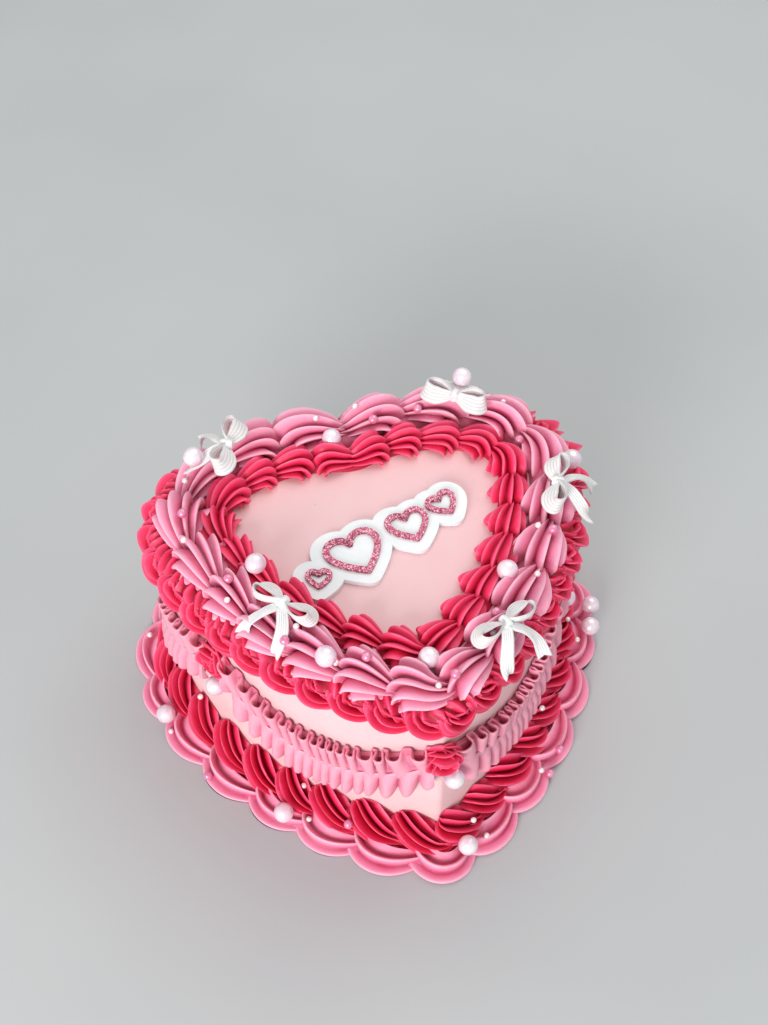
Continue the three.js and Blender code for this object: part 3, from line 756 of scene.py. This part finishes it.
def add_body():
    count, edge = BODY["points"], BODY["edge"]
    ring = heart_rings(HeartPath(0, BODY["tip"], BODY["notch"]), count)
    random = np.random.default_rng(SEEDS["body"])
    draw = random.uniform
    waves = [(random.integers(3, 17), draw(0, TAU), draw(0.4, 2.2)) for _ in range(BODY["waves"])]
    share = np.arange(count) / count

    def level(flat, z, push=0.0):
        grown = MIDDLE + (flat - MIDDLE) * (1 + np.broadcast_to(push, count)[:, None] / MEAN_RADIUS)
        return np.column_stack([grown, np.full(count, float(z))])

    rings = []
    for z in np.linspace(0, BODY_HEIGHT - edge, BODY["levels"]):
        push = sum(0.05 * np.sin(TAU * k * share + p + f * z / 9) for k, p, f in waves)
        rings.append(level(ring(BODY["inset"]), z, push))
    for a in np.radians(np.linspace(15, 90, 6)):
        inset = BODY["inset"] + edge * (1 - math.cos(a))
        rings.append(level(ring(inset), BODY_HEIGHT - edge + edge * math.sin(a)))
    rim = rings[-1][:, :2]
    for size in np.linspace(0.97, 0.03, 28):
        flat = MIDDLE + (rim - MIDDLE) * size
        bumps = sum(
            0.03 * np.sin(flat[:, 0] / (9 + 2 * f) + p + flat[:, 1] / (7 + k)) for k, p, f in waves
        )
        rings.append(np.column_stack([flat, BODY_HEIGHT + bumps]))
    form = Form()
    form.band(rings)
    piece = form.make("body_icing", PALE, "pale_icing")
    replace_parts(piece, "cake_body")
    return piece


body = add_body()
inner = add_row("inner_shells", "inner_border", INNER_ROW, HOT, "hot_pink_icing")
main = add_row("main_shells", "main_border", MAIN_ROW, ROSE, "rose_pink_icing")
outer = add_row("outer_shells", "outer_border", OUTER_ROW, HOT, "hot_pink_icing")
base = add_row("base_shells", "base_border", BASE_ROW, HOT, "hot_pink_icing")
scallops = add_row("scallop_shells", "base_scallops", SCALLOP_ROW, SCALLOP, "rose_pink_icing")

# Swags and rosettes
wall_path = HeartPath(offset=4, tip=4, notch=9)


def join_turn(index):
    return 0.5 + index / SWAG["count"]


def swag_span(index):
    """Where a swag starts, and its share of the way round."""
    clear = SWAG["clear"] / wall_path.length
    return join_turn(index) + clear, 1 / SWAG["count"] - 2 * clear


def swag_hang(run):
    """Height of the line between a swag's ruffles, and how deep they are, along it."""
    hang = SWAG["hang"] - SWAG["sag"] * (1 - (2 * run - 1) ** 2)
    return hang, np.minimum(1, SWAG["ends"] + 2 * np.minimum(run, 1 - run))


def ruffle(index, upper, random):
    """One ruffle of a swag: pleats that lean and fold, or hanging fingers below them."""
    kind = UPPER if upper else LOWER
    first, span = swag_span(index)
    length = span * wall_path.length
    pleats = int(round(length / kind["pleat"]))
    run = np.linspace(0, 1, pleats * PLEAT_POINTS)[:, None]
    v = np.linspace(0, 1, RUFFLE_POINTS)[None, :]
    u = pleats * (run - 0.07 * np.sin(TAU * run))
    strong = np.interp(u, np.arange(pleats + 1), random.uniform(*kind["strong"], pleats + 1))
    strong = strong * (1 + 0.6 * np.exp(-((np.minimum(run, 1 - run) * length / 8) ** 2)))
    loose = kind["loose"]
    jitter = np.interp(u, np.arange(pleats + 1), random.uniform(-loose, loose, pleats + 1))
    wave = TAU * (u + jitter + kind["slant"] * v)
    hang, size = swag_hang(run)
    crest = np.cos(wave)
    if upper:
        fold = v * strong * (0.78 * np.sin(2 * wave) + 0.55 * np.sin(wave + 0.6))
        near = 3.3 - 0.25 * v
        reach = (0.25 + 2.35 * v) * np.minimum(strong, 1.3)
        z = hang - 2.5 + SWAG["upper"] * size * v - (0.5 * crest + 0.5 * jitter) * v
    else:
        fold = np.interp(v, [0, 0.2, 0.8, 1], [0, 0.8, 0.86, 0.5]) * np.sin(wave)
        finger = np.interp(v, [0, 0.14, 0.3, 0.8, 0.93, 1], [3.8, 4.2, 5.6, 6.3, 5.6, 4.0])
        gap = np.interp(v, [0, 0.14, 0.35, 1], [3.5, 3.5, 1.6, 0.9])
        near, reach = (finger + gap) / 2, (finger - gap) / 2 * np.minimum(strong, 1.1)
        short = 0.24 * (0.5 - 0.5 * crest) ** 1.5
        z = hang + 1.2 - (SWAG["lower"] - 1) * size * v * (1 - short * v**3)
    along = length * run + fold * length / pleats / TAU
    x, y = wall_path.at(first + along / wall_path.length, np.maximum(near + reach * crest, 0.75))
    points = np.stack([x, y, np.broadcast_to(z, x.shape)], -1)
    # The second value is painted shade, deepest in the hollows between pleats or fingers, fading out
    # near the line between the ruffles.
    return points, np.broadcast_to((0.5 - 0.5 * crest) * np.clip(3 * v, 0, 1), x.shape)


def sheet_shade(marks):
    """Painted shade marks of a sheet, repeated for its front, rims and back."""
    return np.concatenate([marks, marks[:, -1:], marks[:, ::-1], marks[:, :1]], axis=1)


def backing(index):
    """A flat strip on the wall behind a swag, which the pleats are pressed into."""
    first, span = swag_span(index)
    run = np.linspace(0, 1, BACKING_POINTS)
    hang, size = swag_hang(run)
    top, low = hang - 5.2 + SWAG["upper"] * size, hang - (SWAG["lower"] - 4) * size
    section = [
        (WALL_GAP, low), (1.2, low + 0.8), (2.2, low + 4),
        (2.6, top - 3), (1.9, top - 0.3), (WALL_GAP, top),
    ]
    turn = first + run * span
    return np.stack([np.stack([*wall_path.at(turn, out), z], -1) for out, z in section], 1)


def add_swag(index):
    random = np.random.default_rng(SEEDS["swag"] + index)
    form = Form()
    strip = backing(index)
    # The strip is coloured 0.75 deep: painted shade behind the pleats.
    form.band(strip, shade=np.full(strip.shape[:2], 0.75))
    for upper in (False, True):
        grid, marks = ruffle(index, upper, random)
        form.band(sheet_rings(grid, SWAG["thick"]), shade=sheet_shade(marks * 0.9))
    piece = form.make(f"swag_{index + 1}_ruffles", SWAG_PINK, "swag_icing")
    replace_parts(piece, f"swag_{index + 1}")


def add_rosette(index):
    """Short curled shells piped round a point on the wall, pressed flat above its pearl."""
    random = np.random.default_rng(SEEDS["rosette"] + index)
    form = Form()
    start = random.uniform(0, TAU)
    for k in range(ROSETTE["shells"]):
        heading = start + TAU * (k + random.uniform(-0.08, 0.08)) / ROSETTE["shells"]
        points, valley_shade = curl_surface(ROSETTE, ROSETTE["pitch"], random.uniform(0.9, 1.08), random)
        along, across, up = np.moveaxis(points, -1, 0)
        a, b = along - 0.4 * ROSETTE["pitch"], across - ROSETTE["ring"]
        rise = a * math.sin(heading) + b * math.cos(heading)
        turn = join_turn(index) + (a * math.cos(heading) - b * math.sin(heading)) / wall_path.length
        behind_pearl = 3.2 + 5 * np.clip((ROSETTE["z"] + rise - 57) / 9, 0, 1)
        out = 0.8 + np.maximum(up, 0)
        pressed = behind_pearl + 0.1 * (out - behind_pearl)
        x, y = wall_path.at(turn, np.where(out > behind_pearl, pressed, out))
        form.band(np.stack([x, y, ROSETTE["z"] + rise], -1), shade=valley_shade)
    piece = form.make(f"rosette_{index + 1}_petals", HOT, "hot_pink_icing")
    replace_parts(piece, f"rosette_{index + 1}")


for k in range(SWAG["count"]):
    add_swag(k)
    add_rosette(k)


# What carries the toppings, looked up from above
def ground_of(pieces):
    points, faces = [], []
    for piece in pieces:
        start = len(points)
        points += [v.co / MM for v in piece.data.vertices]
        faces += [[start + k for k in p.vertices] for p in piece.data.polygons]
    return BVHTree.FromPolygons(points, faces)


ground = ground_of([body, inner, main, outer, base, scallops])
DOWN = Vector((0, 0, -1))


def ball_height(x, y, radius, top):
    """Height of a ball's middle when it is lowered onto the icing."""
    best = radius
    spokes = 10
    for ring in (0, 0.45, 0.85):
        for k in range(spokes if ring else 1):
            a = TAU * k / spokes
            dx, dy = radius * ring * math.cos(a), radius * ring * math.sin(a)
            hit = ground.ray_cast(Vector((x + dx, y + dy, top)), DOWN)[0]
            if hit:
                best = max(best, hit.z + math.sqrt(radius**2 - dx**2 - dy**2))
    return best


def add_ball(form, centre, size, random):
    """A slightly uneven ball."""
    radius, rings, around = PEARLS[size]
    lat = np.linspace(0, math.pi, rings + 2)[1:-1, None]
    lon = np.linspace(0, TAU, around, endpoint=False)[None, :]
    p, q = random.uniform(0, TAU, 2)
    r = radius * (1 + 0.008 * np.sin(2 * lon + p) * np.sin(lat) + 0.006 * np.sin(3 * lat + q))
    flat, z = r * np.sin(lat), r * np.cos(lat) + 0 * lon
    form.band(np.stack([flat * np.cos(lon), flat * np.sin(lon), z], -1) + centre)


def add_large_pearls():
    random = np.random.default_rng(SEEDS["large"])
    for name in sorted(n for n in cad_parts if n.startswith("pearl_")):
        lo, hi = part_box(name)
        form = Form()
        add_ball(form, ((lo + hi) / 2 / MM)[:], "large", random)
        piece = form.make(f"sugar_{name}", PEARL, "sugar_pearl")
        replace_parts(piece, name)


def add_small_pearls():
    random = np.random.default_rng(SEEDS["small"])
    forms = dict(small=Form(), medium=Form())
    for topping in TOPPINGS:
        row, count = topping["row"], topping["small"]
        path = HeartPath(**row)
        draw = random_from(row["seed"] + 1)
        spots = [[turn, out, "medium"] for turn, out in topping["medium"]]
        for i in range(count):
            turn = (i + 0.2 + 0.6 * draw()) / count
            spots.append([turn, row["offset"] + (draw() - 0.5) * 7, "small"])
        for turn, out, size in spots:
            x, y = (float(c) for c in path.at(turn, out))
            radius = PEARLS[size][0]
            z = ball_height(x, y, radius, topping["drop_from"]) - PEARL_SINK * radius
            add_ball(forms[size], (x, y, z), size, random)
    forms["small"].make("small_pearls", WHITE_PEARL, "sugar_pearl")
    forms["medium"].make("medium_pearls", PINK_PEARL, "sugar_pearl")


add_large_pearls()
add_small_pearls()


# Bows
def ribbon_rings(line, face, wide, notch=None):
    """Sections of a ribbon swept along a line of points, and how deep each point lies between the
    cords, painted as shade.
    """
    along = np.gradient(line, axis=0)
    along /= np.linalg.norm(along, axis=1, keepdims=True)
    across = np.cross(along, face)
    across /= np.linalg.norm(across, axis=1, keepdims=True)
    rise = np.cross(across, along)
    v = np.linspace(-1, 1, RIBBON["samples"])
    ridge = np.cos(v * math.pi * RIBBON["cords"])
    grid = line[:, None] + across[:, None] * (v[None, :, None] * wide[:, None, None] / 2)
    grid = grid + rise[:, None] * (RIBBON["cord"] * ridge)[None, :, None]
    if notch is not None:
        back = notch[:, None, None] * (1 - np.abs(v))[None, :, None]
        grid = grid - along[:, None] * back
    # Painted shade: deepest in the hollows between the cords.
    marks = np.broadcast_to(0.3 - 0.3 * ridge, grid.shape[:2])
    return sheet_rings(grid, RIBBON["thick"]), sheet_shade(marks)


def loop_rings(direction):
    angle = np.linspace(-0.95, 0.95, LOOP["steps"]) * math.pi
    bulge = (1 + np.cos(angle)) / 2
    x = direction * (LOOP["start"] + (LOOP["length"] - LOOP["start"]) * bulge)
    y = LOOP["half"] * 1.3 * np.sin(angle) * np.sqrt(bulge)
    z = 0.3 * np.sin(angle * 1.5 + direction)
    upper = 0.5 + 0.5 * np.sin(angle)
    lean = RIBBON["lean"][0] + (RIBBON["lean"][1] - RIBBON["lean"][0]) * upper
    face = np.stack([direction * np.cos(angle), np.sin(angle), np.tan(lean)], -1)
    face /= np.linalg.norm(face, axis=1, keepdims=True)
    wide = RIBBON["pinch"] + (RIBBON["wide"] - RIBBON["pinch"]) * np.minimum(1, 2 * bulge)
    return ribbon_rings(np.stack([x, y, z], -1), face, wide)


def tail_rings(direction, random):
    reach, drop = smooth_table(TAIL["line"], TAIL["steps"]).T
    apart = direction * (TAIL["spread"] + random.uniform(-0.06, 0.06))
    share = np.linspace(0, 1, TAIL["steps"])
    bend = apart + direction * 0.12 * np.sin(math.pi * share) + 0.05 * np.sin(5 * share)
    line = np.stack([reach * np.sin(bend), -reach * np.cos(bend), drop], -1)
    tilt = 0.25 * direction * np.sin(3.6 * share + 0.4)
    face = np.stack([tilt, 0.2 * np.sin(2 * share), np.ones(TAIL["steps"])], -1)
    wide = RIBBON["pinch"] + (TAIL["wide"] - RIBBON["pinch"]) * share**0.7
    notch = RIBBON["fork"] * np.clip((share - 0.55) / 0.45, 0, 1)
    return ribbon_rings(line, face, wide, notch=notch)


def knot_rings():
    """A ribbed band tied round the middle."""
    half, count = KNOT["half"], KNOT["points"]
    a = np.linspace(0, TAU, count, endpoint=False)
    rings = []
    for y in np.linspace(-half, half, 15):
        swell = 1 - 0.22 * (y / half) ** 2 + 0.05 * math.cos(y * TAU / KNOT["cord"])
        x, z = KNOT["wide"] * swell * np.cos(a), KNOT["high"] * swell * np.sin(a)
        rings.append(np.stack([x, np.full(count, y), z], -1))
    return rings


def add_bow(index):
    place = BOWS[index]
    random = np.random.default_rng(SEEDS["bow"] + index)
    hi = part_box(f"bow_{index + 1}")[1]
    middle = hi.z / MM - KNOT["below_top"]
    form = Form()
    for direction in (1, -1):
        for rings, marks in (loop_rings(direction), tail_rings(direction, random)):
            form.band(rings, shade=marks)
    form.band(knot_rings())
    heading = math.radians(place["tails"] + 90)
    c, s = math.cos(heading), math.sin(heading)
    spin = np.array([[c, -s, 0], [s, c, 0], [0, 0, 1]])
    form.points = [points @ spin.T + [place["x"], place["y"], middle] for points in form.points]
    piece = form.make(f"bow_{index + 1}_ribbon", RIBBON_WHITE, "white_ribbon")
    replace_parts(piece, f"bow_{index + 1}")


for k in range(len(BOWS)):
    add_bow(k)


# Plaque: overlapping hearts cut from one sheet, with raised glitter hearts
def heart_outline(width, count=28):
    """A heart of four curves, each given by its ends and two points that pull it."""
    curves = [
        [(0, -0.92), (0.55, -0.5), (1, -0.05), (1, 0.36)],
        [(1, 0.36), (1, 0.98), (0.2, 1.02), (0, 0.5)],
        [(0, 0.5), (-0.2, 1.02), (-1, 0.98), (-1, 0.36)],
        [(-1, 0.36), (-1, -0.05), (-0.55, -0.5), (0, -0.92)],
    ]
    f = np.linspace(0, 1, count, endpoint=False)[:, None]
    shares = [(1 - f) ** 3, 3 * f * (1 - f) ** 2, 3 * f**2 * (1 - f), f**3]
    parts = [sum(share * np.array(end) for share, end in zip(shares, curve)) for curve in curves]
    return np.vstack(parts) * (width / 2)


def turned(points, degrees, x, y):
    c, s = math.cos(math.radians(degrees)), math.sin(math.radians(degrees))
    return points @ np.array([[c, s], [-s, c]]) + [x, y]


def moved(outline, distance, count=160):
    """The outline moved out or in with rounded corners, at even angles round its middle."""
    middle = outline.mean(0)
    flat = outline - middle
    angle = np.arange(count)[:, None] * TAU / count
    ahead = flat[:, 0] * np.cos(angle) + flat[:, 1] * np.sin(angle)
    aside = flat[:, 1] * np.cos(angle) - flat[:, 0] * np.sin(angle)
    near = (np.abs(aside) < abs(distance)) & (ahead > 0)
    half = np.sqrt(np.maximum(distance**2 - aside**2, 0))
    if distance > 0:
        reach = np.where(near, ahead + half, 0).max(1)
    else:
        reach = np.where(near, ahead - half, np.inf).min(1)
    return middle + np.column_stack([reach * np.cos(angle[:, 0]), reach * np.sin(angle[:, 0])])


def at_height(flat, z):
    return np.column_stack([flat, np.full(len(flat), z)])


def add_plaque():
    low, high = BODY_HEIGHT + PLAQUE["low"], BODY_HEIGHT + PLAQUE["high"]
    sheets = []
    for x, y, width, turn, _ in PLAQUE_HEARTS:
        form = Form()
        outline = moved(turned(heart_outline(width), turn, x, y), PLAQUE["border"])
        form.band([at_height(outline, low), at_height(outline, high)])
        mesh = bpy.data.meshes.new("sheet")
        mesh.from_pydata((np.vstack(form.points) * MM).tolist(), [], form.faces)
        sheets.append(bpy.data.objects.new("sheet", mesh))
        bpy.context.collection.objects.link(sheets[-1])
    whole = sheets[0]
    for other in sheets[1:]:
        cut = whole.modifiers.new("join", "BOOLEAN")
        cut.operation, cut.solver, cut.object = "UNION", "EXACT", other
    edge = whole.modifiers.new("edge", "BEVEL")
    edge.width, edge.segments = PLAQUE["edge"] * MM, 3
    edge.limit_method, edge.angle_limit = "ANGLE", math.radians(50)
    depsgraph = bpy.context.evaluated_depsgraph_get()
    mesh = bpy.data.meshes.new_from_object(whole.evaluated_get(depsgraph))
    for other in sheets:
        bpy.data.objects.remove(other)
    mesh.materials.clear()
    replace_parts(placed("plaque_sheet", mesh, PLAQUE_WHITE), "plaque")


def add_glitter_heart(index):
    """The outline of a heart, rough on top."""
    x, y, width, turn, stroke = PLAQUE_HEARTS[index]
    random = np.random.default_rng(SEEDS["glitter"] + index)
    low = BODY_HEIGHT + PLAQUE["high"] - PLAQUE["sunk"]
    high = low + PLAQUE["raised"]
    count, points = int(width * 12), PLAQUE["points"]
    line = turned(heart_outline(width - stroke, 60), turn, x, y)
    inside, outside = moved(line, -stroke / 2, count), moved(line, stroke / 2, count)
    across = [at_height(inside, low)]
    for share in np.linspace(0, 1, points):
        across.append(at_height(inside + (outside - inside) * share, high))
    across.append(at_height(outside, low))
    rings = np.array(across).transpose(1, 0, 2)
    rings[:, 1:-1, :2] += random.uniform(-0.1, 0.1, (count, points, 2))
    rings[:, 1:-1, 2] += random.uniform(-0.16, 0.08, (count, points))
    form = Form()
    form.band(rings, wrap=True)
    piece = form.make(f"glitter_heart_{index + 1}", GLITTER, "rose_glitter", smooth=False)
    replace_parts(piece, f"plaque_heart_{index + 1}")


add_plaque()
for k in range(len(PLAQUE_HEARTS)):
    add_glitter_heart(k)


# Floor, lights and camera
def add_floor():
    mesh = bpy.data.meshes.new("floor")
    corners = [(x * FLOOR_HALF, y * FLOOR_HALF, 0) for x, y in ((-1, -1), (1, -1), (1, 1), (-1, 1))]
    mesh.from_pydata(corners, [], [(0, 1, 2, 3)])
    floor = bpy.data.objects.new("floor", mesh)
    bpy.context.collection.objects.link(floor)
    material, tree = new_material("pale_floor")
    colour = mixed(tree, noise(tree, 4), srgb("bbbfbf"), srgb("b5b9ba"))
    mesh.materials.append(finished(material, colour, Roughness=0.7))


def add_light(name, place, size, power):
    light = bpy.data.lights.new(name, "AREA")
    light.shape, light.size, light.energy = "DISK", size, power
    lamp = bpy.data.objects.new(name, light)
    lamp.location = place
    lamp.rotation_euler = (Vector(LIT) - lamp.location).to_track_quat("-Z", "Y").to_euler()
    bpy.context.collection.objects.link(lamp)


def add_world():
    world = bpy.data.worlds.new("studio")
    world.use_nodes = True
    back = world.node_tree.nodes["Background"]
    back.inputs["Color"].default_value = (1, 1, 1, 1)
    back.inputs["Strength"].default_value = 0.6
    bpy.context.scene.world = world


def add_camera():
    pitch, heading = math.radians(CAMERA["pitch"]), math.radians(CAMERA["heading"])
    level = math.cos(pitch)
    ahead = Vector((level * math.sin(heading), level * math.cos(heading), -math.sin(pitch)))
    right = Vector((math.cos(heading), -math.sin(heading), 0))
    up = right.cross(ahead)
    camera = bpy.data.cameras.new("camera")
    camera.sensor_fit = "VERTICAL"
    camera.sensor_height = CAMERA["sensor"]
    camera.lens = CAMERA["sensor"] * CAMERA["focal"] / CAMERA["height"]
    camera.clip_end = 20
    eye = bpy.data.objects.new("camera", camera)
    facing = Matrix((right, up, -ahead)).transposed().to_4x4()
    eye.matrix_world = Matrix.Translation(Vector(CAMERA["place"]) * MM) @ facing
    bpy.context.collection.objects.link(eye)
    bpy.context.scene.camera = eye


add_floor()
add_light("window", (-0.85, -1.05, 0.55), 0.7, 17)
add_light("room", (0.5, 0.5, 1.2), 1.2, 7)
add_world()
add_camera()

bpy.context.scene.view_settings.view_transform = "Standard"
